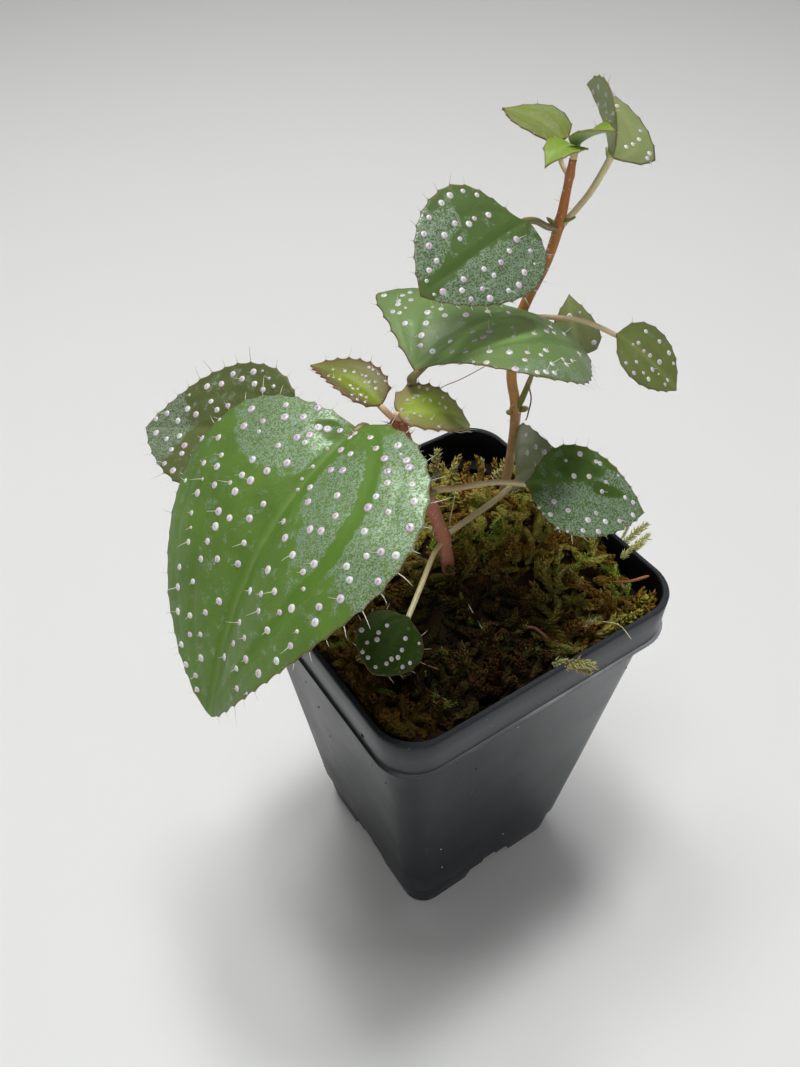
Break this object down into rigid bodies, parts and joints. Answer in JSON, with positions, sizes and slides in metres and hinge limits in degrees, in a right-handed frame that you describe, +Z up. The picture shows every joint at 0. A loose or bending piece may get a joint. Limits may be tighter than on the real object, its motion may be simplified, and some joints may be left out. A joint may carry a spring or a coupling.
{
  "type": "potted calvoa plant",
  "caption": "Leafy calvoa plant with white-dotted leaves on two stems, rooted in moss in a square tapered nursery pot.",
  "frame": {"origin": "middle of the pot's underside, on the plane it stands on", "axes": "+Z up, with the pot's four sides square to X and Y; the large front leaf hangs over the -X side and the picture looks towards +Y and +X"},
  "size_m": [0.0977, 0.068, 0.1696],
  "materials": {
    "pot_plastic": "satin",
    "moss": "matte",
    "stem_rose": "satin",
    "stem_brown": "satin",
    "leaf_green": "satin",
    "leaf_olive": "satin",
    "leaf_young": "satin"
  },
  "bodies": {
    "root": {"pot": "pot_plastic", "moss_bed": "moss", "stem_thick": "stem_rose", "stem_thin": "stem_brown", "leaf_front_large": "leaf_green", "leaf_left_back": "leaf_olive", "leaf_arched": "leaf_green", "leaf_upper_mid": "leaf_green", "leaf_lower_right": "leaf_green", "leaf_back_low": "leaf_olive", "leaf_top_right": "leaf_olive", "leaf_right_small": "leaf_green", "leaf_back_right": "leaf_olive", "leaf_lower_round": "leaf_green", "leaf_young_left": "leaf_young", "leaf_young_right": "leaf_young", "leaf_top_left": "leaf_young", "growing_tip": "leaf_young"}
  },
  "joints": []
}
